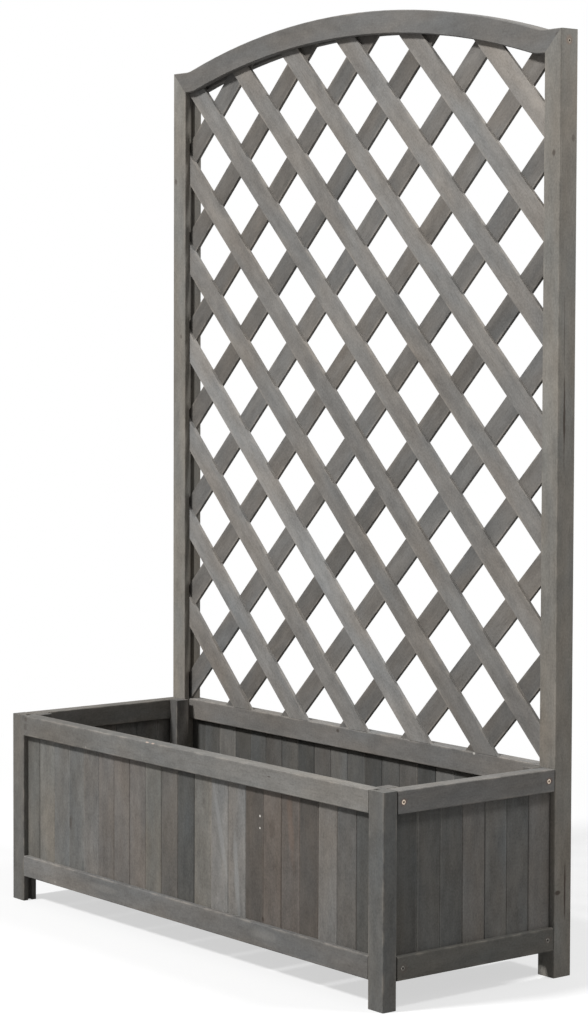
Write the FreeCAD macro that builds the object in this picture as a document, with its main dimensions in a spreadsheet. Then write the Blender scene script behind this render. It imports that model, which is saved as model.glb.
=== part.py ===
import FreeCAD, Part
import math
import os
import Sketcher

# Planter box with a tall arched trellis behind it, in grey stained softwood.
# Millimetres, +Z up, the front towards -Y, the origin on the floor under the middle of the
# whole piece.  The planter is a front frame, two side frames and a rear frame of grooved rails
# that hold upright boards, joined at four inner corner cleats.  The rear frame's posts run on
# upwards, meet an arched top rail at mitres and hold two layers of crossed slats in a groove.

SIZES = [
    ("width", 1000),            # over the posts
    ("depth", 380),             # front of the legs to back of the posts
    ("planter_top", 324),       # top of the planter's rails
    ("foot_clear", 43),         # floor to the underside of the lowest rails
    ("post_wide", 36),          # trellis post, along X, and the arch's depth at its mitres
    ("post_deep", 36),          # trellis post, along Y
    ("shoulder_top", 1453),     # level ends of the arched rail
    ("shoulder_long", 45),      # length of each level end
    ("arch_rise", 65),          # crown above the level ends
    ("arch_deep", 38),          # arched rail, top to underside at the crown
    ("arch_blend", 70),         # radius where the level ends turn into the arch
    ("leg_wide", 35),           # front leg, along X
    ("leg_deep", 26),           # front leg, along Y
    ("rail_deep", 26),          # all planter rails, front to back
    ("top_rail_high", 35),
    ("low_rail_high", 36),
    ("mid_rail_high", 36),
    ("board_thick", 8),
    ("board_wide", 45),         # nominal face of one upright board
    ("board_gap", 0.4),         # room between neighbouring boards
    ("board_bevel", 1.2),       # bevels that make the V joint between boards
    ("board_setback", 9),       # board face behind the rail face
    ("groove_deep", 8),
    ("groove_fit", 0.3),        # room on each face of a board or slat in its groove
    ("end_fit", 0.6),           # room at the ends of boards and slats in their grooves
    ("panel_gap", 1.6),         # shadow gap at the ends of the side frames
    ("slat_wide", 37),
    ("slat_thick", 5.5),
    ("slat_pitch", 159.2),      # level distance between slats of one layer
    ("slat_setback", 10),       # front slats behind the post face
    ("lattice_lift", 14.3),     # lowest crossing on the centre line above the planter top
    ("cleat_wide", 22),
    ("cleat_deep", 25),
    ("ledger_deep", 20),
    ("ledger_high", 20),
    ("floor_thick", 10),
    ("floor_wide", 95),
    ("floor_fit", 1),           # room between the floor boards and the frames
    ("floor_boards", 8),        # a count; the drainage gaps take the width that is left
    ("screw_head", 7.6),
    ("screw_neck", 3.8),
    ("screw_taper", 2.4),       # height of the countersunk head
    ("screw_long", 42),
    ("screw_sunk", 0.5),        # head below the wood's face
    ("screw_fit", 0.05),        # room round the head and neck
    ("edge_round", 2),          # eased long edges of straight frame timber
    ("arch_bevel", 1.5),        # eased curved edges of the arched rail
]

doc = FreeCAD.newDocument("planter_with_trellis")
sheet = doc.addObject("Spreadsheet::Sheet", "Sizes")
for row, (name, amount) in enumerate(SIZES, start=1):
    sheet.set("A%d" % row, name)
    sheet.set("B%d" % row, str(amount))
    sheet.setAlias("B%d" % row, name)
doc.recompute()


def cells(words):
    """Turn each {name} into a reference to that cell, so that an expression reads like a sum."""
    return words.replace("{", "Sizes.").replace("}", "")


def value(words):
    """The number that an expression on the sheet comes to."""
    return float(sheet.evalExpression(cells(words)))


# Places that several pieces share, all written from the driving sizes.
FRONT = "(-{depth} / 2)"
BACK = "({depth} / 2)"
SIDE = "({width} / 2)"
POST_FRONT = "({depth} / 2 - {post_deep})"
REAR_RAIL_FRONT = "({depth} / 2 - {rail_deep})"
OPENING_SIDE = "({width} / 2 - {post_wide})"
LEG_INSIDE = "({width} / 2 - {leg_wide})"
LOW_RAIL_TOP = "({foot_clear} + {low_rail_high})"
TOP_RAIL_LOW = "({planter_top} - {top_rail_high})"
MID_RAIL_LOW = "({planter_top} - {mid_rail_high})"
BOARD_SLOT = "({board_thick} + 2 * {groove_fit})"
SLOT_START = "({board_setback} - {groove_fit})"
SIDE_START = "(%s + {leg_deep} + {panel_gap})" % FRONT
SIDE_LONG = "({depth} - {post_deep} - {leg_deep} - 2 * {panel_gap})"
ARCH_HALF = "({width} / 2 - {shoulder_long})"
ARCH_RADIUS = "((%s * %s + {arch_rise} * {arch_rise}) / (2 * {arch_rise}))" % (ARCH_HALF, ARCH_HALF)
ARCH_CENTRE = "({shoulder_top} + {arch_rise} - %s)" % ARCH_RADIUS
INNER_RADIUS = "(%s - {arch_deep})" % ARCH_RADIUS
INNER_LEVEL = "({shoulder_top} - {post_wide})"
TENON_LONG = "({groove_deep} - {end_fit})"
SLAT_SLOT = "(2 * {slat_thick} + 2 * {groove_fit})"
FLOOR_LEVEL = "({foot_clear} + {ledger_high})"
ARCH_SCREW_LEVEL = "({shoulder_top} - {post_wide} / 2)"
SCREW_REACH = "({screw_sunk} + {screw_long} + {end_fit})"

parts = []


def keep(thing, label):
    """Name a finished piece and put it on the list of pieces to write."""
    thing.Label = label
    parts.append(thing)
    return thing


def new_body(name):
    return doc.addObject("PartDesign::Body", name)


def plane_sketch(body, role, name, offset=None):
    """A sketch on one of the body's own origin planes, moved along its normal by offset."""
    sketch = body.newObject("Sketcher::SketchObject", name)
    for feature in body.Origin.OriginFeatures:
        if feature.Role == role:
            sketch.AttachmentSupport = (feature, "")
    sketch.MapMode = "FlatFace"
    if offset:
        sketch.setExpression("AttachmentOffset.Base.z", cells(offset))
    return sketch


def polygon(sketch, corners, arcs=None):
    """A closed outline with each corner bound to the sheet, sides straight unless in arcs.

    arcs gives the radius of each curved side by the number of its first corner.  Curved sides
    all turn about the arch's centre.
    """
    arcs = arcs or {}
    count = len(corners)
    spots = [FreeCAD.Vector(value(across), value(upward), 0) for across, upward in corners]
    points = []
    for index, start in enumerate(spots):
        end = spots[(index + 1) % count]
        if index in arcs:
            middle = FreeCAD.Vector(0, value(ARCH_CENTRE), 0)
            circle = Part.Circle(middle, FreeCAD.Vector(0, 0, 1), value(arcs[index]))
            slope = math.atan2(start.y - middle.y, abs(start.x))
            sketch.addGeometry(Part.ArcOfCircle(circle, slope, math.pi - slope))
            points.append((1, 2) if end.x < start.x else (2, 1))
        else:
            sketch.addGeometry(Part.LineSegment(start, end))
            points.append((1, 2))
    for index in range(count):
        after = (index + 1) % count
        joint = ("Coincident", index, points[index][1], after, points[after][0])
        sketch.addConstraint(Sketcher.Constraint(*joint))
    for index, (across, upward) in enumerate(corners):
        for kind, words in (("DistanceX", across), ("DistanceY", upward)):
            place = Sketcher.Constraint(kind, -1, 1, index, points[index][0], value(words))
            bind(sketch, place, "%s_%d" % (kind.lower(), index), words)
    for index, radius in arcs.items():
        bind(sketch, Sketcher.Constraint("Radius", index, value(radius)), "radius_%d" % index,
             radius)


def bind(sketch, constraint, label, words):
    """Add a named constraint that follows the sheet."""
    rank = sketch.addConstraint(constraint)
    sketch.renameConstraint(rank, label)
    if "{" in words:
        sketch.setExpression("Constraints." + label, cells(words))


def pad(body, sketch, long, flip=False):
    feature = body.newObject("PartDesign::Pad", sketch.Name + "_pad")
    feature.Profile = sketch
    feature.Reversed = flip
    feature.setExpression("Length", cells(long))
    doc.recompute()
    return feature


def pocket(body, sketch, long, flip=False):
    """Cut a pocket and make sure that it took wood away."""
    before = body.Shape.Volume
    feature = body.newObject("PartDesign::Pocket", sketch.Name + "_pocket")
    feature.Profile = sketch
    feature.Reversed = flip
    feature.setExpression("Length", cells(long))
    doc.recompute()
    if not body.Shape.Volume < before:
        raise RuntimeError("the pocket %s cuts nothing" % feature.Name)


def dress_edges(body, kind, wanted, long):
    """Fillet or chamfer the edges of the body's last feature that the test picks out."""
    base = body.Tip
    names = []
    for index, edge in enumerate(base.Shape.Edges, start=1):
        if wanted(edge):
            names.append("Edge%d" % index)
    feature = body.newObject("PartDesign::" + kind, "%s_%s" % (body.Name, kind.lower()))
    feature.Base = (base, names)
    feature.setExpression("Radius" if kind == "Fillet" else "Size", cells(long))
    doc.recompute()


def on_outside(edge, axis, box):
    """True for a straight edge along one axis that lies on two outer faces of the box."""
    if not isinstance(edge.Curve, Part.Line):
        return False
    start, end = edge.Vertexes[0].Point, edge.Vertexes[-1].Point
    along = [abs(end.x - start.x), abs(end.y - start.y), abs(end.z - start.z)]
    if along[axis] < 0.9 * sum(along):
        return False
    low = (box.XMin, box.YMin, box.ZMin)
    high = (box.XMax, box.YMax, box.ZMax)
    others = [index for index in range(3) if index != axis]
    return all(min(abs(start[index] - low[index]), abs(start[index] - high[index])) < 0.01
               for index in others)


def ease_long_edges(body, axis):
    box = body.Shape.BoundBox
    dress_edges(body, "Fillet", lambda edge: on_outside(edge, axis, box), "{edge_round}")


def put(thing, across, deep, upward):
    """Bind a piece's place to the sheet."""
    thing.setExpression("Placement.Base.x", cells(across))
    thing.setExpression("Placement.Base.y", cells(deep))
    thing.setExpression("Placement.Base.z", cells(upward))


# --- Rails -----------------------------------------------------------------------------------

def rail_section(high, slot_on):
    """Corners of a rail's section, depth first, with the board groove on top or below."""
    near, far = SLOT_START, "(%s + %s)" % (SLOT_START, BOARD_SLOT)
    if slot_on == "top":
        return [("0", "0"), ("{rail_deep}", "0"), ("{rail_deep}", high), (far, high),
                (far, "%s - {groove_deep}" % high), (near, "%s - {groove_deep}" % high),
                (near, high), ("0", high)]
    return [("0", "0"), (near, "0"), (near, "{groove_deep}"), (far, "{groove_deep}"),
            (far, "0"), ("{rail_deep}", "0"), ("{rail_deep}", high), ("0", high)]


def long_rail(label, high, slot_on, half_long, front, low):
    """A rail along X with stub tenons that enter the board grooves of the legs or posts."""
    body = new_body(label)
    section = plane_sketch(body, "YZ_Plane", label + "_section")
    polygon(section, rail_section(high, slot_on))
    pad(body, section, "2 * %s" % half_long)
    ease_long_edges(body, 0)
    tenon = plane_sketch(body, "YZ_Plane", label + "_tenon", "-%s" % TENON_LONG)
    near, far = "{board_setback}", "({board_setback} + {board_thick})"
    low_side, high_side = "{groove_deep}", "(%s - {groove_deep})" % high
    polygon(tenon, [(near, low_side), (far, low_side), (far, high_side), (near, high_side)])
    pad(body, tenon, "2 * %s + 2 * %s" % (half_long, TENON_LONG))
    put(body, "-%s" % half_long, front, low)
    return keep(body, label)


def screw_seats(body, label, places, reach):
    """Turned cuts for countersunk screws that enter at the face X = 0, each (Y, Z) of places."""
    for index, (deep, upward) in enumerate(places):
        profile = plane_sketch(body, "XY_Plane", "%s_seat_%d" % (label, index), upward)
        head = "%s + {screw_head} / 2 + {screw_fit}" % deep
        neck = "%s + {screw_neck} / 2 + {screw_fit}" % deep
        polygon(profile, [("0", deep), ("0", head), ("{screw_sunk}", head),
                          ("{screw_sunk} + {screw_taper}", neck), (reach, neck), (reach, deep)])
        before = body.Shape.Volume
        cut = body.newObject("PartDesign::Groove", "%s_seat_%d_cut" % (label, index))
        cut.Profile = profile
        cut.ReferenceAxis = (profile, ["Edge6"])
        cut.Angle = 360
        doc.recompute()
        if not body.Shape.Volume < before:
            raise RuntimeError("the screw seat %s cuts nothing" % cut.Name)


def side_rail(label, side, high, slot_on, low):
    """A rail along Y with its face outwards, drawn for the left side and turned for the right."""
    body = new_body(label)
    section = plane_sketch(body, "XZ_Plane", label + "_section")
    polygon(section, rail_section(high, slot_on))
    pad(body, section, SIDE_LONG, flip=True)
    ease_long_edges(body, 1)
    near = "({cleat_deep} / 2 - {panel_gap})"
    far = "(%s - %s)" % (SIDE_LONG, near)
    screw_seats(body, label, [(near, "%s / 2" % high), (far, "%s / 2" % high)], "{rail_deep}")
    if side < 0:
        put(body, "-%s" % SIDE, SIDE_START, low)
    else:
        body.Placement = FreeCAD.Placement(FreeCAD.Vector(), FreeCAD.Rotation(180, 0, 0))
        put(body, SIDE, "%s + %s" % (SIDE_START, SIDE_LONG), low)
    return keep(body, label)


SIDES = ((-1, "left"), (1, "right"))

long_rail("front_top_rail", "{top_rail_high}", "below", LEG_INSIDE, FRONT, TOP_RAIL_LOW)
long_rail("front_bottom_rail", "{low_rail_high}", "top", LEG_INSIDE, FRONT, "{foot_clear}")
long_rail("trellis_mid_rail", "{mid_rail_high}", "below", OPENING_SIDE, REAR_RAIL_FRONT,
          MID_RAIL_LOW)
long_rail("rear_bottom_rail", "{low_rail_high}", "top", OPENING_SIDE, REAR_RAIL_FRONT,
          "{foot_clear}")
for side, word in SIDES:
    side_rail("%s_top_rail" % word, side, "{top_rail_high}", "below", TOP_RAIL_LOW)
    side_rail("%s_bottom_rail" % word, side, "{low_rail_high}", "top", "{foot_clear}")


# --- Front legs ------------------------------------------------------------------------------

def front_leg(label, side):
    """A leg with the board groove down its whole inner face, drawn for the left side."""
    body = new_body(label)
    section = plane_sketch(body, "XY_Plane", label + "_section")
    near, far = SLOT_START, "(%s + %s)" % (SLOT_START, BOARD_SLOT)
    inner = "{leg_wide} - {groove_deep}"
    corners = [("0", "0"), ("{leg_wide}", "0"), ("{leg_wide}", near), (inner, near),
               (inner, far), ("{leg_wide}", far), ("{leg_wide}", "{leg_deep}"),
               ("0", "{leg_deep}")]
    if side > 0:
        corners = [("-(%s)" % across, deep) for across, deep in corners]
    polygon(section, corners)
    pad(body, section, "{planter_top}")
    ease_long_edges(body, 2)
    put(body, "%s%s" % ("-" if side < 0 else "", SIDE), FRONT, "0")
    return keep(body, label)


for side, word in SIDES:
    front_leg("front_%s_leg" % word, side)


# --- Trellis posts ---------------------------------------------------------------------------

def trellis_post(label, side):
    """A tall post: mitred top, slat groove above, board groove below, a screw into the arch."""
    body = new_body(label)
    face = plane_sketch(body, "XZ_Plane", label + "_face")
    polygon(face, [("0", "0"), ("{post_wide}", "0"), ("{post_wide}", INNER_LEVEL),
                   ("0", "{shoulder_top}")])
    pad(body, face, "{post_deep}", flip=True)
    ease_long_edges(body, 2)
    groove_floor = "({post_wide} - {groove_deep})"
    past_edge = "({post_wide} + {groove_deep})"
    slat_near = "({slat_setback} - {groove_fit})"
    board_near = "({post_deep} - {rail_deep} + %s)" % SLOT_START
    if side > 0:
        slat_near = "({post_deep} - %s - %s)" % (slat_near, SLAT_SLOT)
        board_near = "({post_deep} - %s - %s)" % (board_near, BOARD_SLOT)
    slats = plane_sketch(body, "XZ_Plane", label + "_slat_groove", "-%s" % slat_near)
    polygon(slats, [(groove_floor, "{planter_top}"), (past_edge, "{planter_top}"),
                    (past_edge, "{shoulder_top}"), (groove_floor, "{shoulder_top}")])
    pocket(body, slats, SLAT_SLOT)
    boards = plane_sketch(body, "XZ_Plane", label + "_board_groove", "-%s" % board_near)
    low_end = "({foot_clear} + {groove_deep} - {end_fit})"
    high_end = "({planter_top} - {groove_deep} + {end_fit})"
    polygon(boards, [(groove_floor, low_end), (past_edge, low_end),
                     (past_edge, high_end), (groove_floor, high_end)])
    pocket(body, boards, BOARD_SLOT)
    screw_seats(body, label, [("{post_deep} / 2", ARCH_SCREW_LEVEL)], "{post_wide}")
    if side < 0:
        put(body, "-%s" % SIDE, POST_FRONT, "0")
    else:
        body.Placement = FreeCAD.Placement(FreeCAD.Vector(), FreeCAD.Rotation(180, 0, 0))
        put(body, SIDE, BACK, "0")
    return keep(body, label)


for side, word in SIDES:
    trellis_post("trellis_%s_post" % word, side)


# --- Arched rail -----------------------------------------------------------------------------

def arch_reach(level, radius):
    """Half the width between the points where an arc about the arch's centre meets a level."""
    return "sqrt((%s) ^ 2 - (%s - %s) ^ 2)" % (radius, level, ARCH_CENTRE)


def arched_rail(label):
    """The top rail: level shoulders, a long arc above and below, mitred ends, slat groove."""
    body = new_body(label)
    face = plane_sketch(body, "XZ_Plane", label + "_face")
    inner_reach = arch_reach(INNER_LEVEL, INNER_RADIUS)
    polygon(face, [(SIDE, "{shoulder_top}"), (ARCH_HALF, "{shoulder_top}"),
                   ("-" + ARCH_HALF, "{shoulder_top}"), ("-" + SIDE, "{shoulder_top}"),
                   ("-" + OPENING_SIDE, INNER_LEVEL), ("-" + inner_reach, INNER_LEVEL),
                   (inner_reach, INNER_LEVEL), (OPENING_SIDE, INNER_LEVEL)],
            {1: ARCH_RADIUS, 5: INNER_RADIUS})
    pad(body, face, "{post_deep}", flip=True)
    blends = [value(ARCH_HALF), value(inner_reach)]
    dress_edges(body, "Fillet", lambda edge: runs_back_at(edge, blends), "{arch_blend}")
    dress_edges(body, "Chamfer", lambda edge: not touches_mitre(edge), "{arch_bevel}")
    groove = plane_sketch(body, "XZ_Plane", label + "_slat_groove",
                          "-({slat_setback} - {groove_fit})")
    level = "(%s + {groove_deep})" % INNER_LEVEL
    radius = "(%s + {groove_deep})" % INNER_RADIUS
    side = "(%s + {groove_deep})" % OPENING_SIDE
    reach = arch_reach(level, radius)
    below = "(%s - {groove_deep})" % INNER_LEVEL
    polygon(groove, [(side, below), (side, level), (reach, level), ("-" + reach, level),
                     ("-" + side, level), ("-" + side, below)], {2: radius})
    pocket(body, groove, SLAT_SLOT)
    pilot_holes(body, label, [("{post_deep} / 2", ARCH_SCREW_LEVEL)], SIDE)
    put(body, "0", POST_FRONT, "0")
    return keep(body, label)


def runs_back_at(edge, places):
    """True for an edge from front to back at one of the given distances from the middle."""
    start, end = edge.Vertexes[0].Point, edge.Vertexes[-1].Point
    if abs(end.y - start.y) < 1 or abs(end.x - start.x) > 0.01:
        return False
    return any(abs(abs(start.x) - place) < 0.01 for place in places)


def touches_mitre(edge):
    """True for the edges that bound a mitre face, or run from front to back."""
    start, end = edge.Vertexes[0].Point, edge.Vertexes[-1].Point
    if abs(end.y - start.y) > 0.01:
        return True
    mitre_end = value(SIDE), value(OPENING_SIDE)
    return all(min(abs(abs(point.x) - place) for place in mitre_end) < 0.01
               for point in (start, end)) and abs(end.x - start.x) < 2 * value("{post_wide}")


def pilot(sketch, across, upward):
    """The circle of a hole that takes a screw's shank."""
    radius = "({screw_neck} / 2 + {screw_fit})"
    middle = FreeCAD.Vector(value(across), value(upward), 0)
    sketch.addGeometry(Part.Circle(middle, FreeCAD.Vector(0, 0, 1), value(radius)))
    rules = (("across", Sketcher.Constraint("DistanceX", -1, 1, 0, 3, middle.x), across),
             ("upward", Sketcher.Constraint("DistanceY", -1, 1, 0, 3, middle.y), upward),
             ("radius", Sketcher.Constraint("Radius", 0, value(radius)), radius))
    for label, rule, words in rules:
        bind(sketch, rule, label, words)


def pilot_holes(body, label, places, outer):
    """Round holes along X from the outer face inwards for the screws' shanks, on both sides."""
    for index, (deep, upward) in enumerate(places):
        for side, word in SIDES:
            name = "%s_pilot_%s_%d" % (label, word, index)
            circle = plane_sketch(body, "YZ_Plane", name, "%s%s" % ("-" if side < 0 else "", outer))
            pilot(circle, deep, upward)
            pocket(body, circle, SCREW_REACH, flip=side < 0)


arched_rail("trellis_arch_rail")


# --- Corner cleats ---------------------------------------------------------------------------

def cleat(label, side, front):
    """A square-cut upright in an inner corner that takes the screws of one side frame."""
    body = new_body(label)
    section = plane_sketch(body, "XY_Plane", label + "_section")
    polygon(section, [("0", "0"), ("{cleat_wide}", "0"), ("{cleat_wide}", "{cleat_deep}"),
                      ("0", "{cleat_deep}")])
    pad(body, section, "{planter_top} - {foot_clear}")
    levels = ("{low_rail_high} / 2", "{planter_top} - {foot_clear} - {top_rail_high} / 2")
    for index, upward in enumerate(levels):
        hole = plane_sketch(body, "YZ_Plane", "%s_pilot_%d" % (label, index))
        pilot(hole, "{cleat_deep} / 2", upward)
        pocket(body, hole, SCREW_REACH + " - {rail_deep}", flip=True)
    deep = "(%s + {leg_deep})" % FRONT if front else "(%s - {cleat_deep})" % POST_FRONT
    if side < 0:
        put(body, "-%s + {rail_deep}" % SIDE, deep, "{foot_clear}")
    else:
        body.Placement = FreeCAD.Placement(FreeCAD.Vector(), FreeCAD.Rotation(180, 0, 0))
        put(body, "%s - {rail_deep}" % SIDE, deep + " + {cleat_deep}", "{foot_clear}")
    return keep(body, label)


for side, word in SIDES:
    cleat("front_%s_cleat" % word, side, True)
    cleat("rear_%s_cleat" % word, side, False)


# --- Upright boards --------------------------------------------------------------------------

def board_panel(label, role, run, low, high):
    """A row of bevelled upright boards that fills run along one axis, in whole boards."""
    body = new_body(label)
    body.AllowCompound = True
    count = "round(%s / {board_wide})" % run
    long = "(%s / %s - {board_gap})" % (run, count)
    bevel, thick = "{board_bevel}", "{board_thick}"
    corners = [(bevel, "0"), (long + " - " + bevel, "0"), (long, bevel),
               (long, thick + " - " + bevel), (long + " - " + bevel, thick), (bevel, thick),
               ("0", thick + " - " + bevel), ("0", bevel)]
    if role == "Y_Axis":
        corners = [(deep, across) for across, deep in corners]
    section = plane_sketch(body, "XY_Plane", label + "_section")
    polygon(section, corners)
    first = pad(body, section, "%s - %s" % (high, low))
    row = body.newObject("PartDesign::LinearPattern", label + "_row")
    row.Originals = [first]
    for feature in body.Origin.OriginFeatures:
        if feature.Role == role:
            row.Direction = (feature, [""])
    row.setExpression("Length", cells("%s - %s / %s" % (run, run, count)))
    row.setExpression("Occurrences", cells(count))
    body.Tip = row
    doc.recompute()
    return keep(body, label)


BOARD_LOW = "(%s - {groove_deep} + {end_fit})" % LOW_RAIL_TOP
BOARD_HIGH = "(%s + {groove_deep} - {end_fit})" % TOP_RAIL_LOW
REAR_BOARD_HIGH = "(%s + {groove_deep} - {end_fit})" % MID_RAIL_LOW
FRONT_RUN = "(2 * %s + 2 * %s)" % (LEG_INSIDE, TENON_LONG)
REAR_RUN = "(2 * %s + 2 * %s)" % (OPENING_SIDE, TENON_LONG)
put(board_panel("front_boards", "X_Axis", FRONT_RUN, BOARD_LOW, BOARD_HIGH),
    "{board_gap} / 2 - %s / 2" % FRONT_RUN, "%s + {board_setback}" % FRONT, BOARD_LOW)
put(board_panel("rear_boards", "X_Axis", REAR_RUN, BOARD_LOW, REAR_BOARD_HIGH),
    "{board_gap} / 2 - %s / 2" % REAR_RUN, "%s + {board_setback}" % REAR_RAIL_FRONT, BOARD_LOW)
put(board_panel("left_side_boards", "Y_Axis", SIDE_LONG, BOARD_LOW, BOARD_HIGH),
    "{board_setback} - %s" % SIDE, "%s + {board_gap} / 2" % SIDE_START, BOARD_LOW)
put(board_panel("right_side_boards", "Y_Axis", SIDE_LONG, BOARD_LOW, BOARD_HIGH),
    "%s - {board_setback} - {board_thick}" % SIDE, "%s + {board_gap} / 2" % SIDE_START,
    BOARD_LOW)


# --- Floor -----------------------------------------------------------------------------------

def timber(label, long, deep, high, corner):
    """A plain square-cut piece with its lowest corner at the given place."""
    piece = doc.addObject("Part::Box", label)
    for name, words in (("Length", long), ("Width", deep), ("Height", high)):
        piece.setExpression(name, cells(words))
    put(piece, *corner)
    return piece


FLOOR_HALF = "(%s - {rail_deep} - {cleat_wide} - {floor_fit})" % SIDE
FLOOR_FRONT = "(%s + {rail_deep})" % FRONT
LEDGER_REAR = "(%s - {ledger_deep})" % REAR_RAIL_FRONT
for word, deep in (("front", FLOOR_FRONT), ("rear", LEDGER_REAR)):
    label = "%s_ledger" % word
    keep(timber(label, "2 * " + FLOOR_HALF, "{ledger_deep}", "{ledger_high}",
                ("-" + FLOOR_HALF, deep, "{foot_clear}")), label)

floor_step = "(2 * %s - {floor_wide}) / ({floor_boards} - 1)" % FLOOR_HALF
for index in range(int(value("{floor_boards}"))):
    label = "floor_board_%d" % (index + 1)
    across = "%d * (%s) - %s" % (index, floor_step, FLOOR_HALF)
    keep(timber(label, "{floor_wide}",
                "%s - %s - 2 * {floor_fit}" % (REAR_RAIL_FRONT, FLOOR_FRONT), "{floor_thick}",
                (across, FLOOR_FRONT + " + {floor_fit}", FLOOR_LEVEL)), label)


# --- Lattice ---------------------------------------------------------------------------------

LATTICE_SIDE = "(%s + %s)" % (OPENING_SIDE, TENON_LONG)
LATTICE_LEVEL = "(%s + %s)" % (INNER_LEVEL, TENON_LONG)
LATTICE_RADIUS = "(%s + %s)" % (INNER_RADIUS, TENON_LONG)
FIRST_CROSSING = "({planter_top} + {lattice_lift})"


def lattice_outline():
    """The shape that all slats are cut to: up from the mid rail into the grooves all round."""
    body = new_body("lattice_outline")
    face = plane_sketch(body, "XZ_Plane", "lattice_outline_face")
    reach = arch_reach(LATTICE_LEVEL, LATTICE_RADIUS)
    polygon(face, [(LATTICE_SIDE, "{planter_top}"), (LATTICE_SIDE, LATTICE_LEVEL),
                   (reach, LATTICE_LEVEL), ("-" + reach, LATTICE_LEVEL),
                   ("-" + LATTICE_SIDE, LATTICE_LEVEL), ("-" + LATTICE_SIDE, "{planter_top}")],
            {2: LATTICE_RADIUS})
    pad(body, face, "{post_deep}", flip=True)
    put(body, "0", POST_FRONT, "0")
    return body


def slat(label, rank, lean, deep, outline):
    """One slat at 45 degrees, trimmed to the outline.  lean is 1 for falling to the right."""
    long = "(2 * sqrt(2) * (%s + {slat_wide}))" % LATTICE_SIDE
    strip = timber(label + "_strip", long, "{slat_thick}", "{slat_wide}",
                   ("-(%s + %d * {slat_wide}) / (2 * sqrt(2))" % (long, lean), deep,
                    "%s + %d * {slat_pitch} + (%d * %s - {slat_wide}) / (2 * sqrt(2))"
                    % (FIRST_CROSSING, rank, lean, long)))
    strip.Placement.Rotation = FreeCAD.Rotation(FreeCAD.Vector(0, 1, 0), 45 * lean)
    trimmed = doc.addObject("Part::Common", label)
    trimmed.Base = strip
    trimmed.Tool = outline
    return keep(trimmed, label)


# A slat is left out where its middle line would be shorter in the frame than it is wide.
lowest = value("({slat_wide} - %s - {lattice_lift}) / {slat_pitch}" % LATTICE_SIDE)
highest = value("(%s + %s - {slat_wide} - %s) / {slat_pitch}"
                % (LATTICE_LEVEL, LATTICE_SIDE, FIRST_CROSSING))
ranks = range(math.ceil(lowest), math.floor(highest) + 1)
SLATS_BELOW = 3     # a slat's number is its rank above the lowest crossing, plus this
outline = lattice_outline()
LAYERS = (("front", 1, "%s + {slat_setback}" % POST_FRONT),
          ("back", -1, "%s + {slat_setback} + {slat_thick}" % POST_FRONT))
for word, lean, deep in LAYERS:
    for rank in ranks:
        slat("%s_slat_%02d" % (word, rank + SLATS_BELOW), rank, lean, deep, outline)


# --- Screws ----------------------------------------------------------------------------------

def screw(name, side, deep, upward):
    """A countersunk wood screw, its head just under the outer face, turned for each side."""
    body = new_body(name)
    profile = plane_sketch(body, "XZ_Plane", name + "_profile")
    head, neck = "{screw_head} / 2", "{screw_neck} / 2"
    tip = "({screw_sunk} + {screw_long})"
    polygon(profile, [("{screw_sunk}", "0"), (tip, "0"), (tip, neck),
                      ("{screw_sunk} + {screw_taper}", neck), ("{screw_sunk}", head)])
    turned = body.newObject("PartDesign::Revolution", name + "_turned")
    turned.Profile = profile
    turned.ReferenceAxis = (profile, ["H_Axis"])
    turned.Angle = 360
    doc.recompute()
    if side > 0:
        body.Placement = FreeCAD.Placement(FreeCAD.Vector(), FreeCAD.Rotation(180, 0, 0))
    put(body, "%s%s" % ("-" if side < 0 else "", SIDE), deep, upward)
    return body


def screw_group(label, places):
    """All screws of one kind in a single node, on both sides."""
    group = doc.addObject("Part::Compound", label)
    links = []
    for index, (deep, upward) in enumerate(places):
        for side, word in SIDES:
            links.append(screw("%s_%s_%d" % (label, word, index), side, deep, upward))
    group.Links = links
    return keep(group, label)


CLEAT_MIDDLES = ("%s + {leg_deep} + {cleat_deep} / 2" % FRONT,
                 "%s - {cleat_deep} / 2" % POST_FRONT)
RAIL_MIDDLES = ("{foot_clear} + {low_rail_high} / 2", "{planter_top} - {top_rail_high} / 2")
screw_group("side_frame_screws", [(deep, upward) for deep in CLEAT_MIDDLES
                                  for upward in RAIL_MIDDLES])
screw_group("arch_rail_screws", [("%s + {post_deep} / 2" % POST_FRONT, ARCH_SCREW_LEVEL)])


# --- Checks and files ------------------------------------------------------------------------

doc.recompute()
for thing in doc.Objects:
    if "Invalid" in thing.State or "Error" in thing.State:
        raise RuntimeError("%s is %s" % (thing.Label, thing.State))
for thing in parts:
    if thing.Shape.isNull() or not thing.Shape.isValid():
        raise RuntimeError("%s has no valid shape" % thing.Label)

os.makedirs("parts", exist_ok=True)
for thing in parts:
    thing.Shape.exportStep("parts/%s.step" % thing.Label)
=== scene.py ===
import bmesh
import bpy
import math
import random
from mathutils import Matrix, Vector


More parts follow.
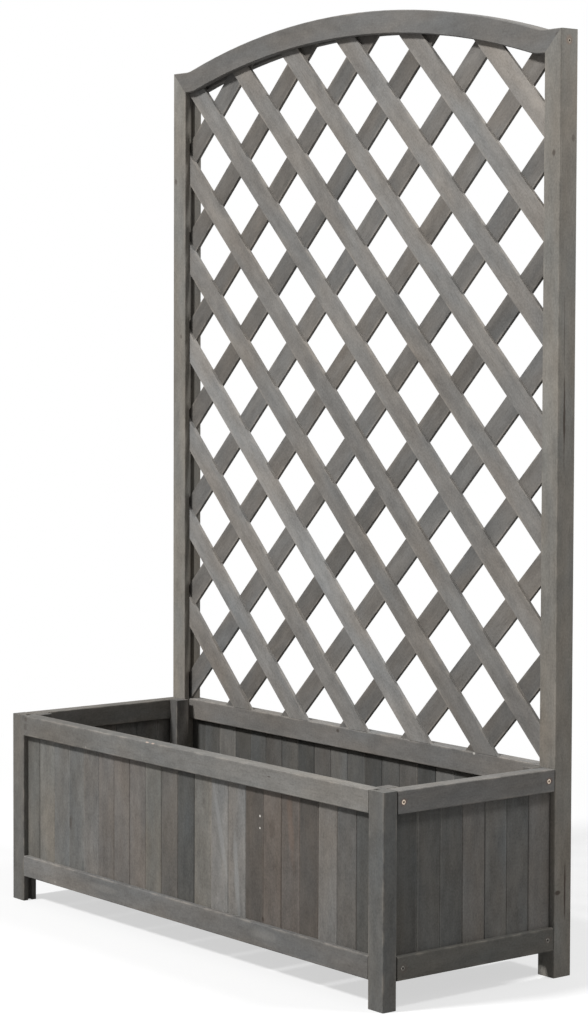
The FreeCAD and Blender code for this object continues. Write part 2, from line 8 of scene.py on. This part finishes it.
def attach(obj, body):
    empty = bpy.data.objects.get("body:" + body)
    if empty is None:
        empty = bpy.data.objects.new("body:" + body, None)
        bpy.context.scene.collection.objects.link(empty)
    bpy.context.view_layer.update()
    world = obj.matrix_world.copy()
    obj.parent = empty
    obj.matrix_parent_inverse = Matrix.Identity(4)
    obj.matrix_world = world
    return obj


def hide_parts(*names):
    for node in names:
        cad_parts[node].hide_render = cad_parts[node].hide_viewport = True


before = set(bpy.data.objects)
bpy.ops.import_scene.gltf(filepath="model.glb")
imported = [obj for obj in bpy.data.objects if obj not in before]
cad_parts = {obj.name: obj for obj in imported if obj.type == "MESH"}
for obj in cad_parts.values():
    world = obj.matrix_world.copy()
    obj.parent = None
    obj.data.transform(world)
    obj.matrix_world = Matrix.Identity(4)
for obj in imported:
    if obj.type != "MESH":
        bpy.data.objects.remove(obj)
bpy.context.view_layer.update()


# Trellis posts.  Two square softwood uprights, planed with eased edges, dipped in a thin warm
# grey stain and left matt.  Their grain runs straight up, with a few small knots and, on the
# right post, some long drying cracks.

class Wire:
    """A node's output, on which plain arithmetic can be written."""

    def __init__(self, tree, socket=None):
        self.tree = tree
        self.socket = socket

    def node(self, kind, settings=None, out=0, **inputs):
        """Add a node: its settings first, then the values or wires of its sockets.

        A socket goes by its own name, or by n0, n1 and so on for its place among the inputs.
        Among the settings, stops and steps are a colour ramp's colours and how it joins them.
        """
        made = self.tree.nodes.new(kind)
        for key, setting in (settings or {}).items():
            if key == "stops":
                ramp = made.color_ramp
                while len(ramp.elements) < len(setting):
                    ramp.elements.new(1.0)
                for stop, (place, colour) in zip(ramp.elements, setting):
                    stop.position = place
                    stop.color = colour
            elif key == "steps":
                made.color_ramp.interpolation = setting
            else:
                setattr(made, key, setting)
        for key, given in inputs.items():
            socket = made.inputs[int(key[1:])] if key[1:].isdigit() else made.inputs[key]
            if isinstance(given, Wire):
                self.tree.links.new(given.socket, socket)
            else:
                socket.default_value = given
        return Wire(self.tree, made.outputs[out])

    def sum(self, operation, *terms):
        """Work out a Math node's operation on wires or numbers."""
        sockets = {"n%d" % index: term for index, term in enumerate(terms)}
        return self.node("ShaderNodeMath", {"operation": operation}, **sockets)

    def __add__(self, other):
        return self.sum("ADD", self, other)

    def __radd__(self, other):
        return self.sum("ADD", other, self)

    def __sub__(self, other):
        return self.sum("SUBTRACT", self, other)

    def __rsub__(self, other):
        return self.sum("SUBTRACT", other, self)

    def __mul__(self, other):
        return self.sum("MULTIPLY", self, other)

    def __rmul__(self, other):
        return self.sum("MULTIPLY", other, self)

    def __truediv__(self, other):
        return self.sum("DIVIDE", self, other)

    def __pow__(self, other):
        return self.sum("POWER", self, other)

    def step(self, low, high):
        """0 below low, 1 above high, and a soft climb between them."""
        return self.node("ShaderNodeMapRange", {"interpolation_type": "SMOOTHSTEP"},
                         n0=self, n1=low, n2=high, n3=0.0, n4=1.0)

    def along(self, direction):
        """Length of this vector along a direction."""
        return self.node("ShaderNodeVectorMath", {"operation": "DOT_PRODUCT"}, out=1,
                         n0=self, n1=tuple(direction))

    def blend(self, factor, first, second):
        """Mix two colours, each a wire or four numbers."""
        return self.node("ShaderNodeMix", {"data_type": "RGBA"}, out=2,
                         n0=factor, n6=first, n7=second)


def tint(red, green, blue):
    """A colour written as the eye sees it, from 0 to 255, as the shader needs it."""
    seen = [amount / 255 for amount in (red, green, blue)]
    return tuple(amount / 12.92 if amount < 0.04045 else ((amount + 0.055) / 1.055) ** 2.4
                 for amount in seen) + (1.0,)


def span(piece, direction):
    """Where a piece begins and ends along a direction."""
    reached = [vertex.co.dot(direction) for vertex in piece.data.vertices]
    return min(reached), max(reached)


UP = Vector((0, 0, 1))
ACROSS = Vector((1, 0, 0))
BACK = Vector((0, 1, 0))
MM = 1000                              # millimetres in a metre

# Figures of the wood: repeats per metre across the grain, repeats along it, and fine detail.
BOW = (7, 1.3, 2.0)                    # the tree's own crookedness
FIBRE = (640, 14, 3.0)                 # fine threads
DASH = (900, 60, 1.0)                  # short dark pores
STREAK = (62, 2.4, 3.0)                # long stripes
CLOUD = (15, 6, 3.0)                   # broad patches where the stain took unevenly
MOTTLE = (75, 34, 3.0)                 # smaller patches
TOOTH = (330, 260, 2.0)                # grit of the sanded surface
HUE = (20, 7, 2.0)                     # drift between brown and blue
HUE_START = 9
BOARD_SHIFT = 7.3                      # how far the noise jumps from one board to the next
RINGS_PER_METRE = (110, 190)

SPREAD_SHARE = 0.036                   # change of tone for each unit of spread
HUE_DRIFT = 0.19
DASH_STRENGTH = 0.3
RUB_AND_HIGHLIGHT_STRENGTH = 0.28
JOINT_LIGHT_REACH = (0.0008, 0.003)          # painted light lifts a board's colour this far from its joint, against its V-groove's shade
ARRIS_REACH = (0.0005, 0.0045)         # wear and a painted highlight pale a timber this far from its edges

PORE = tint(84, 79, 73)
# Rubbed edges, standing also for a painted highlight along them:
RUBBED_AND_LIT = tint(172, 163, 152)
BARE_WOOD = tint(152, 120, 100)
KNOT = tint(72, 62, 55)


def stain(node, tone, seed, grain=UP, flat=ACROSS, spread=9, figure=1.0, fade=(1.0, 1.0),
          marks=(), board=None):
    """Finish a timber of the frame in stained softwood.

    tone is the stain's middle colour, spread how far the grain leaves it, and fade how much
    lighter or darker the colour grows from one end to the other.  flat is the direction across
    the grain in which a face shows its figure, and figure is how strongly it shows.  A mark is
    its place, half its length and width in millimetres, its colour, how strongly it shows, and
    how far it leans.  board is for a row of boards that each took the stain in their own way:
    the row's first edge, its pitch, the ramp's stops, and how strongly light is painted along
    the joints to lift the shade in their V-grooves.
    """
    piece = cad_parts[node]
    material = bpy.data.materials.new(node + "_stain")
    material.use_nodes = True
    tree = material.node_tree
    shader = tree.nodes["Principled BSDF"]
    start = Wire(tree)
    dice = random.Random(seed)
    grain = Vector(grain)
    depth = grain.cross(flat)
    place = start.node("ShaderNodeTexCoord", out=3)
    lengthwise = place.along(grain)
    across = place.along(flat)
    through = place.along(depth)

    # The noise is shifted from timber to timber and board to board, so neighbours look different.
    own = dice.uniform(0, 40)
    if board:
        first, pitch, stops, joint_painted_light = board
        from_first = across - first
        number = start.sum("FLOOR", from_first / pitch)
        middle = start.node("ShaderNodeValToRGB", {"stops": stops, "steps": "CONSTANT"},
                            n0=(number + 0.5) / len(stops))
        own = number * BOARD_SHIFT + own
        side = from_first - number * pitch
        width = pitch
    else:
        low, high = span(piece, flat)
        middle = start.node("ShaderNodeRGB")
        middle.socket.default_value = tint(*tone)
        side = across - low
        width = high - low

    def figured(kind, **shifts):
        """A noise as fine and as drawn out as one of the figures of the wood."""
        fine, drawn_out, detail = kind
        at = {"across": across * fine, "through": through * fine, "along": lengthwise * drawn_out}
        for way, shift in shifts.items():
            at[way] = at[way] + shift
        spot = start.node("ShaderNodeCombineXYZ", n0=at["across"], n1=at["through"],
                          n2=at["along"])
        return start.node("ShaderNodeTexNoise", Vector=spot, Scale=1.0, Detail=detail)

    # Growth rings lie about a heart that is placed by chance, and bend with the tree.
    bow = figured(BOW, across=own) - 0.5
    heart_side = dice.uniform(-0.4, 1.4) * width
    heart_deep = dice.uniform(0.012, 0.05)
    pith = (((side - heart_side) ** 2 + (through + heart_deep) ** 2) ** 0.5) + bow * 0.07
    ring = start.sum("PINGPONG", pith * dice.uniform(*RINGS_PER_METRE), 1.0)
    late = ring.step(0.45, 1.0)
    fibre = figured(FIBRE, across=own)
    dash = figured(DASH, through=own)
    streak = figured(STREAK, through=own)
    cloud = figured(CLOUD, across=own, along=own)
    mottle = figured(MOTTLE, through=own, along=own)
    tooth = figured(TOOTH, across=own)
    warm = figured(HUE, across=own, along=HUE_START) - 0.5

    # The figures lighten and darken the stain, each by its own weight, and tilt its hue.
    paler = ((fibre - 0.5) * 0.4 + (streak - 0.5) * (0.6 * figure) + (cloud - 0.5) * 2.0
             + (mottle - 0.5) * 1.5 - late * (0.06 * figure) + (tooth - 0.5) * 1.6)
    begin, end = span(piece, grain)
    length = (lengthwise - begin) / (end - begin)
    shading = (1 + paler * (spread * SPREAD_SHARE)) * (fade[0] + length * (fade[1] - fade[0]))
    tilt = start.node("ShaderNodeCombineXYZ",
                      n0=1 + warm * HUE_DRIFT, n1=1.0, n2=1 - warm * HUE_DRIFT)
    colour = start.node("ShaderNodeVectorMath", {"operation": "SCALE"}, n0=middle, n3=shading)
    colour = start.node("ShaderNodeVectorMath", {"operation": "MULTIPLY"}, n0=colour, n1=tilt)
    colour = start.blend((1 - dash.step(0.27, 0.4)) * DASH_STRENGTH, colour, PORE)

    # Boards get painted light along some of their joints, lifting the shade in their V-grooves,
    # and other timbers are paled on their edges by wear and a painted highlight.
    near_side = start.sum("MINIMUM", side, width - side)
    if board:
        # Light is painted along some joints to lift the shade in their V-grooves.
        joint = start.sum("ROUND", from_first / pitch) + seed
        joint_chance = start.node("ShaderNodeTexWhiteNoise", {"noise_dimensions": "1D"}, n1=joint)
        painted_groove_light = (1 - near_side.step(*JOINT_LIGHT_REACH)) * joint_chance.step(0.1, 0.9) * joint_painted_light
        colour = start.node("ShaderNodeVectorMath", {"operation": "SCALE"},
                            n0=colour, n3=1 + painted_groove_light)
    else:
        back, front = span(piece, depth)
        near_face = start.sum("MINIMUM", through - back, front - through)
        arris = near_side + near_face
        # Wear and a painted highlight pale the edges.
        rub_and_highlight = (1 - arris.step(*ARRIS_REACH)) * mottle.step(0.42, 0.62)
        colour = start.blend(rub_and_highlight * RUB_AND_HIGHLIGHT_STRENGTH, colour, RUBBED_AND_LIT)

    # A mark fades out at a ragged edge.
    for where, half_length, half_width, shade, strength, lean in marks:
        point = Vector(where) / MM
        far_along = lengthwise - point.dot(grain)
        far_across = across - point.dot(flat) - far_along * lean
        far_through = through - point.dot(depth)
        gap = (far_along / (half_length / MM)) ** 2 + ((far_across ** 2 + far_through ** 2)
                                                       / (half_width / MM) ** 2)
        gap = gap ** 0.5 + (mottle - 0.5) * 1.2
        colour = start.blend((1 - gap.step(0.45, 1.1)) * strength, colour, shade)
    tree.links.new(colour.socket, shader.inputs["Base Color"])
    rough = 0.94 - 0.2 * streak
    tree.links.new(rough.socket, shader.inputs["Roughness"])
    height = fibre * 0.5 + dash * 0.3 + tooth * 0.3 - late * 0.1
    bump = start.node("ShaderNodeBump", Strength=0.3, Distance=0.0005, Height=height)
    tree.links.new(bump.socket, shader.inputs["Normal"])
    shader.inputs["Specular IOR Level"].default_value = 0.25
    piece.data.materials.clear()
    piece.data.materials.append(material)


POST_TONE = (135, 131, 124)
stain("trellis_left_post", POST_TONE, 11, marks=[
    ((-492, 154, 1259), 7, 5, KNOT, 0.6, 0),
    ((-476, 154, 980), 5, 4, KNOT, 0.5, 0)])
stain("trellis_right_post", POST_TONE, 12, marks=[
    ((486, 154, 1266), 6, 5, KNOT, 0.7, 0),
    ((500, 161, 132), 4, 7, KNOT, 0.85, 0),
    ((500, 181, 1288), 6, 4, KNOT, 0.4, 0),
    ((500, 167, 866), 105, 2.3, KNOT, 0.85, 0.02),
    ((500, 166, 985), 80, 1.6, KNOT, 0.5, 0.01),
    ((500, 176, 132), 55, 2.4, KNOT, 0.9, -0.03),
    ((500, 171, 1436), 9, 8, BARE_WOOD, 0.3, 0)])


# Arched rail.  One piece bandsawn from a wide board, so its grain runs level and is cut
# slanting near both ends.  Mitred to the posts and screwed through them.

stain("trellis_arch_rail", (114, 112, 109), 21, grain=ACROSS, flat=UP, marks=[
    ((492, 154, 1444), 5, 3, KNOT, 0.5, 0)])


# Rails of the rear frame.  The trellis mid rail carries the slats and closes the planter's
# back, and the bottom rail closes the box below.

CHALK = tint(228, 224, 216)
stain("trellis_mid_rail", (127, 124, 120), 31, grain=ACROSS, flat=UP, marks=[
    ((-38, 164, 317), 5, 4, KNOT, 0.7, 0),
    ((304, 164, 322), 3, 2, CHALK, 0.6, 0)])
stain("rear_bottom_rail", (124, 121, 117), 32, grain=ACROSS, flat=UP)


# Lattice slats.  Thin sawn strips in two crossed layers, stained before they were put up.
# Each strip took the stain a little differently, and the layer behind is darker.

SHADE_STEP = 4
FRONT_STEPS = (0, 2, 0, 3, -2, -2, -1, -1, -1, 0, 0, 3)
BACK_STEPS = (-3, 0, -1, 0, -2, 0, 0, 0, -3, -3, -3, -2)
for family, base, steps, rise in (("front_slat_", 137, FRONT_STEPS, -1),
                                  ("back_slat_", 120, BACK_STEPS, 1)):
    for rank, lighter in enumerate(steps):
        brown = random.Random(500 + rank * rise).uniform(-1, 1)
        lift = SHADE_STEP * lighter
        slat_tone = (base + lift + brown, base - 3 + lift, base - 7 + lift - brown)
        stain(family + "%02d" % (rank + 1), slat_tone, 60 + rank * rise,
              grain=Vector((1, 0, rise)).normalized(),
              flat=Vector((1, 0, -rise)).normalized(), spread=10, figure=1.6)


# Front legs and front rails.  The same planed stock as the rear frame.  The legs are grooved
# for the boards and stand clear of the lowest rail.

SAPWOOD = tint(168, 165, 159)
FRESH_CHIP = tint(214, 192, 176)
stain("front_left_leg", (111, 109, 105), 41)
stain("front_right_leg", (106, 105, 102), 42)
# The top rail's colour grows paler towards its right end, painted as more light falling on that
# end.
stain("front_top_rail", (125, 123, 119), 43, grain=ACROSS, flat=UP, fade=(0.81, 1.16), marks=[
    ((228, -190, 311), 5, 1.2, KNOT, 0.8, 0),
    ((-96, -189, 324), 5, 2, FRESH_CHIP, 0.75, 0),
    ((-80, -189, 324), 4, 2, FRESH_CHIP, 0.65, 0),
    ((-458, -190, 318), 5, 5, KNOT, 0.5, 0),
    ((-460, -190, 305), 6, 6, KNOT, 0.35, 0),
    ((-273, -190, 293), 3, 2.5, SAPWOOD, 0.7, 0)])
stain("front_bottom_rail", (118, 116, 113), 44, grain=ACROSS, flat=UP, fade=(1.18, 0.82), marks=[
    ((222, -190, 64), 42, 10, SAPWOOD, 0.22, 0),
    ((-220, -190, 63), 50, 7, SAPWOOD, 0.2, 0),
    ((-367, -190, 49), 5, 3, SAPWOOD, 0.6, 0)])


# Side rails.  Short rails between legs and posts, a shadow gap at each end, held by a screw
# into each corner cleat.  The screws' heads bruised the stain round them down to bare wood.

SCREW_BACKS = (-151.5, 141.5)
SCREW_LEVELS = (61.0, 306.5)
BRUISED = tint(118, 88, 76)
for rank, (name, tone) in enumerate((("left_top_rail", (122, 119, 114)),
                                     ("left_bottom_rail", (114, 111, 106)),
                                     ("right_top_rail", (120, 118, 115)),
                                     ("right_bottom_rail", (101, 99, 94)))):
    outer = -500 if name.startswith("left") else 500
    level = SCREW_LEVELS["top" in name]
    strength = 0.42 if "top" in name else 0.12
    stain(name, tone, 51 + rank, grain=BACK, flat=UP, marks=[
        ((outer, back, level), 9, 8, BRUISED, strength, 0) for back in SCREW_BACKS])


# Corner cleats, ledgers and floor boards.  Sawn battens inside the box: the cleats stand in
# its corners, and the ledgers lie along its long sides and carry the boards of the floor.

CLEAT_TONE = (112, 109, 105)
FLOOR_TONE = (116, 111, 104)
for rank, name in enumerate(sorted(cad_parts)):
    if "cleat" in name:
        stain(name, CLEAT_TONE, 200 + rank)
    if "ledger" in name:
        stain(name, FLOOR_TONE, 200 + rank, grain=ACROSS, flat=UP)
    if "floor_board" in name:
        stain(name, FLOOR_TONE, 200 + rank, grain=BACK, flat=ACROSS)


# Upright boards.  Narrow V-jointed strips from mixed trees, so that one stain came out
# bluish, brown or nearly slate from board to board, with streaks of sapwood and resin.

STAINED = {
    "pale": tint(129, 126, 122),
    "wheat": tint(122, 119, 113),
    "ash": tint(120, 117, 113),
    "bluish": tint(114, 113, 110),
    "clay": tint(115, 110, 105),
    "fawn": tint(112, 109, 103),
    "moss": tint(102, 99, 95),
    "stone": tint(101, 100, 97),
    "russet": tint(105, 98, 92),
    "umber": tint(88, 83, 78),
    "slate": tint(88, 87, 84),
}
FRONT_RUN = ("fawn wheat bluish bluish ash clay clay clay fawn moss slate wheat pale pale "
             "umber russet russet umber ash moss slate").split()
REAR_RUN = ("slate stone bluish slate stone moss stone slate moss bluish stone slate stone moss "
            "slate bluish stone slate stone bluish slate").split()
SIDE_RUN = "slate stone stone ash bluish bluish ash".split()

SILVERED = tint(163, 164, 163)
RUST = tint(134, 104, 84)
UPPER_NAIL = (194.3, -181, 244.5)
LOWER_NAIL = (194.3, -181, 225.8)
FRONT_MARKS = [
    ((93, -181, 203), 95, 7, SILVERED, 0.34, -0.25),
    ((135, -181, 140), 72, 7, SILVERED, 0.38, -0.08),
    ((271, -181, 232), 60, 9, RUST, 0.2, -0.08),
    ((225, -181, 229), 18, 9, KNOT, 0.3, 0),
    ((-332, -181, 156), 11, 4, KNOT, 0.45, 0),
    ((203, -181, 85), 5, 4, KNOT, 0.7, 0),
    (UPPER_NAIL, 3.6, 3.6, KNOT, 0.5, 0),
    (LOWER_NAIL, 3.6, 3.6, KNOT, 0.5, 0),
    (UPPER_NAIL, 2.2, 2.2, CHALK, 1, 0),
    (LOWER_NAIL, 2.2, 2.2, CHALK, 1, 0),
]
# The fourth value of each row is how strongly light is painted along its joints.
for rank, (name, flat, run, joint_painted_light, marks) in enumerate((
        ("front_boards", ACROSS, FRONT_RUN, 0.55, FRONT_MARKS),
        ("rear_boards", ACROSS, REAR_RUN, 0.8, []),
        ("left_side_boards", BACK, SIDE_RUN, 1.2, []),
        ("right_side_boards", BACK, SIDE_RUN, 1.2, []))):
    first, last = span(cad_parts[name], flat)
    stops = [(index / len(run), STAINED[word]) for index, word in enumerate(run)]
    stain(name, None, 90 + rank, flat=flat, spread=11, figure=1.3, marks=marks,
          board=(first, (last - first) / len(run), stops, joint_painted_light))


# Screws.  Countersunk steel screws with a six-lobed driving recess, one through each end of
# every side rail into its cleat and one through each post into the arched rail.  The lowest
# are dark and dull, the two at the arch partly so, and the others bright zinc.

HEAD_RADIUS = 0.0038
NECK_RADIUS = 0.0019
HEAD_DEEP = 0.0024
HEAD_FACE = 0.4995                     # how far the head stands from the object's middle
SCREW_LONG = 0.042
TIP_LONG = 0.005
TIP_SHARE = 0.15
RIM_WIDE = 0.0003
RIM_HIGH = 0.0002
LOBES_IN = 0.0014
RECESS_DEEP = 0.0018
RECESS_TAPER = 0.8
ARCH_SCREW_BACK = 172.0
ARCH_SCREW_LEVEL = 1435.0
ENDS_ON = 0.9                          # cosine past which a face looks along the screw


def pick(test):
    """Select just those faces of the mesh in edit mode that pass a test."""
    bpy.ops.mesh.select_mode(type="FACE")
    bpy.ops.mesh.select_all(action="DESELECT")
    drawn = bmesh.from_edit_mesh(bpy.context.edit_object.data)
    for face in drawn.faces:
        face.select_set(test(face))
    bmesh.update_edit_mesh(bpy.context.edit_object.data)


def is_front(face):
    """Tell the one round face that looks out of the wood."""
    return len(face.verts) > 4 and face.normal.x > ENDS_ON


def is_rear(face):
    """Tell the one round face that looks into the wood."""
    return len(face.verts) > 4 and face.normal.x < -ENDS_ON


def draw_out(distance):
    """Extrude the picked face along the screw: out of the wood, or into it if negative."""
    bpy.ops.mesh.extrude_region_move(TRANSFORM_OT_translate={"value": (distance, 0, 0)})


def narrow(share):
    """Bring what is picked nearer to the screw's axis."""
    bpy.ops.transform.resize(value=(1, share, share))


bpy.ops.object.select_all(action="DESELECT")
bpy.ops.mesh.primitive_cylinder_add(
    vertices=24, radius=HEAD_RADIUS, depth=HEAD_DEEP, rotation=(0, math.pi / 2, 0),
    location=(HEAD_FACE - HEAD_DEEP / 2, SCREW_BACKS[0] / MM, SCREW_LEVELS[0] / MM))
screw = bpy.context.object
bpy.ops.object.transform_apply(location=True, rotation=True, scale=True)
bpy.ops.object.mode_set(mode="EDIT")

# The rear face becomes the neck, the shank and the tip.
pick(is_rear)
narrow(NECK_RADIUS / HEAD_RADIUS)
draw_out(HEAD_DEEP - SCREW_LONG + TIP_LONG)
draw_out(-TIP_LONG)
narrow(TIP_SHARE)

# The front face gets a rim, and its middle is pinched at six places and sunk.
pick(is_front)
bpy.ops.mesh.inset(thickness=RIM_WIDE)
draw_out(RIM_HIGH)
bpy.ops.mesh.inset(thickness=LOBES_IN)
bpy.ops.mesh.select_mode(type="VERT")
for places, share in (((2,), 0.68), ((1, 3), 0.86)):
    drawn = bmesh.from_edit_mesh(screw.data)
    middle_face = [face for face in drawn.faces if is_front(face)][0]
    pinched = [vertex for rank, vertex in enumerate(middle_face.verts) if rank % 4 in places]
    bpy.ops.mesh.select_all(action="DESELECT")
    for vertex in pinched:
        vertex.select_set(True)
    bmesh.update_edit_mesh(screw.data)
    narrow(share)
pick(is_front)
draw_out(-RECESS_DEEP)
narrow(RECESS_TAPER)
bpy.ops.mesh.select_all(action="SELECT")
bpy.ops.mesh.normals_make_consistent(inside=False)
bpy.ops.object.mode_set(mode="OBJECT")

steel = bpy.data.materials.new("zinc_plated_steel")
steel.use_nodes = True
plate = Wire(steel.node_tree)
metal = steel.node_tree.nodes["Principled BSDF"]
on_screw = plate.node("ShaderNodeTexCoord", out=3)
raised = on_screw.along(UP)
bloom = plate.node("ShaderNodeTexNoise", Vector=on_screw, Scale=900.0, Detail=3.0)
grit = plate.node("ShaderNodeTexNoise", Vector=on_screw, Scale=3500.0, Detail=2.0)
# Screws are dark and dull low down, partly so at the arch, and bright in between.
bright_share = raised.step(0.12, 0.24) * (1 - raised.step(0.8, 1.2) * 0.6)
outward = plate.sum("ABSOLUTE", on_screw.along(ACROSS))
# Inside the driving recess a dark colour is painted as its shade, and it is not metal.
recess_shade = 1 - outward.step(0.4972, 0.4991)
bright = plate.blend(bloom.step(0.35, 0.65), tint(186, 166, 148), tint(222, 208, 192))
dulled = plate.blend(bloom.step(0.4, 0.7), tint(84, 80, 75), tint(160, 156, 148))
skin = plate.blend(recess_shade, plate.blend(bright_share, dulled, bright), tint(48, 42, 38))
steel.node_tree.links.new(skin.socket, metal.inputs["Base Color"])
steel.node_tree.links.new((0.5 - bloom * 0.25).socket, metal.inputs["Roughness"])
steel.node_tree.links.new(((0.55 + bright_share * 0.4) * (1 - recess_shade)).socket, metal.inputs["Metallic"])
dent = plate.node("ShaderNodeBump", Strength=0.25, Distance=0.0001, Height=grit)
steel.node_tree.links.new(dent.socket, metal.inputs["Normal"])


def put_screw(left, back, level):
    """Lay a copy of the screw, with its own mesh, in its place on the left or right side."""
    bpy.ops.object.select_all(action="DESELECT")
    screw.select_set(True)
    bpy.context.view_layer.objects.active = screw
    bpy.ops.object.duplicate()
    twin = bpy.context.object
    if left:
        twin.rotation_euler = (0, 0, math.pi)
    start_back = -SCREW_BACKS[0] if left else SCREW_BACKS[0]
    twin.location = (0, (back - start_back) / MM, (level - SCREW_LEVELS[0]) / MM)
    bpy.ops.object.transform_apply(location=True, rotation=True, scale=True)
    return twin


def gather(name, node, screws):
    """Join the screws of one kind into one piece, which stands for the solid's screws."""
    bpy.ops.object.select_all(action="DESELECT")
    for each in screws:
        each.select_set(True)
    bpy.context.view_layer.objects.active = screws[0]
    bpy.ops.object.join()
    screws[0].name = name
    screws[0].data.materials.append(steel)
    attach(screws[0], "root")
    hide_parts(node)


arch_screws = [put_screw(left, ARCH_SCREW_BACK, ARCH_SCREW_LEVEL) for left in (False, True)]
side_screws = [put_screw(left, back, level) for left in (False, True)
               for back in SCREW_BACKS for level in SCREW_LEVELS]
bpy.data.objects.remove(screw)
gather("arch_screw_pair", "arch_rail_screws", arch_screws)
gather("side_screw_set", "side_frame_screws", side_screws)


# Floor and backdrop.  A white studio floor, which keeps the object's shadow near it, and an
# even white world.  Both look white and give the object only a weak light.

FILL_STRENGTH = 0.22
FLOOR_GREY = 0.25
GLOW_NEAR = 0.6                        # share of the floor's own white beside the object
GLOW_REACH = (0.9, 2.2)                # and from here to here it grows to the whole

scene = bpy.context.scene
scene.view_settings.view_transform = "Standard"
bpy.ops.object.select_all(action="DESELECT")
bpy.ops.mesh.primitive_plane_add(size=40, location=(0, 0, 0))
floor = bpy.context.object
floor.name = "floor"


def looked_at(wire):
    """One where the camera, a gloss or a glass looks, and none where light is gathered."""
    rays = [wire.node("ShaderNodeLightPath", out=which) for which in (0, 3, 6)]
    return wire.sum("MAXIMUM", wire.sum("MAXIMUM", rays[0], rays[1]), rays[2])


world = bpy.data.worlds.new("studio")
scene.world = world
world.use_nodes = True
sky = Wire(world.node_tree)
backdrop = sky.node("ShaderNodeBackground", Color=(1, 1, 1, 1), Strength=1.0)
fill = sky.node("ShaderNodeBackground", Color=(1, 1, 1, 1), Strength=FILL_STRENGTH)
both = sky.node("ShaderNodeMixShader", n0=looked_at(sky), n1=fill, n2=backdrop)
world.node_tree.links.new(both.socket, world.node_tree.nodes["World Output"].inputs[0])

pale = bpy.data.materials.new("floor_white")
pale.use_nodes = True
paint = Wire(pale.node_tree)
matt = pale.node_tree.nodes["Principled BSDF"]
matt.inputs["Base Color"].default_value = (FLOOR_GREY, FLOOR_GREY, FLOOR_GREY, 1)
matt.inputs["Roughness"].default_value = 0.9
on_floor = paint.node("ShaderNodeTexCoord", out=3)
away = (on_floor.along(ACROSS) ** 2 + on_floor.along(BACK) ** 2) ** 0.5
glowing = GLOW_NEAR + away.step(*GLOW_REACH) * (1 - GLOW_NEAR)
glow = paint.node("ShaderNodeEmission", Color=(1, 1, 1, 1), Strength=1.0)
white = paint.node("ShaderNodeBsdfDiffuse", Color=(1, 1, 1, 1))
lit = paint.node("ShaderNodeMixShader", n0=glowing, n1=white, n2=glow)
mixed = paint.node("ShaderNodeMixShader", n0=looked_at(paint),
                   n1=Wire(pale.node_tree, matt.outputs[0]), n2=lit)
pale.node_tree.links.new(mixed.socket, pale.node_tree.nodes["Material Output"].inputs[0])
floor.data.materials.append(pale)


# Lamps.  A broad soft one stands high in front, a little to the left, and a weaker one high
# behind on the right.

def lamp(name, place, aim, wide, watts):
    """Hang a round soft lamp and turn it to what it lights."""
    data = bpy.data.lights.new(name, "AREA")
    data.shape = "DISK"
    data.size = wide
    data.energy = watts
    made = bpy.data.objects.new(name, data)
    scene.collection.objects.link(made)
    made.location = place
    made.rotation_euler = (Vector(aim) - Vector(place)).to_track_quat("-Z", "Y").to_euler()


lamp("key", place=(-1.5, -6.3, 7.75), aim=(0, 0, 0.8), wide=1.5, watts=900)
lamp("side", place=(1.6, 0.9, 2.9), aim=(0.4, 0, 0.8), wide=0.7, watts=39)


# Camera.  It stands where the photograph was taken, about 4.4 metres off and one metre up,
# as worked out from the object's straight edges.  It looks slightly down.

STATION = (3.4457, -2.6944, 1.0052)
AZIMUTH = math.radians(51.590)
ELEVATION = math.radians(2.710)
ROLL = math.radians(0.194)
PHOTO_WIDTH = 588
PHOTO_HEIGHT = 1026
FOCAL_PIXELS = 2680.3
MIDDLE_ROW = 450
SENSOR = 36.0
camera_data = bpy.data.cameras.new("camera")
camera_data.sensor_fit = "HORIZONTAL"
camera_data.sensor_width = SENSOR
camera_data.lens = SENSOR * FOCAL_PIXELS / PHOTO_WIDTH
camera_data.shift_y = (MIDDLE_ROW - PHOTO_HEIGHT / 2) / PHOTO_WIDTH
camera = bpy.data.objects.new("camera", camera_data)
scene.collection.objects.link(camera)
backward = Vector((math.sin(AZIMUTH) * math.cos(ELEVATION),
                   -math.cos(AZIMUTH) * math.cos(ELEVATION), math.sin(ELEVATION)))
right = Vector((math.cos(AZIMUTH), math.sin(AZIMUTH), 0))
upward = backward.cross(right)
rolled_right = right * math.cos(ROLL) + upward * math.sin(ROLL)
rolled_up = upward * math.cos(ROLL) - right * math.sin(ROLL)
turn = Matrix((rolled_right, rolled_up, backward)).transposed()
camera.matrix_world = Matrix.Translation(STATION) @ turn.to_4x4()
scene.camera = camera
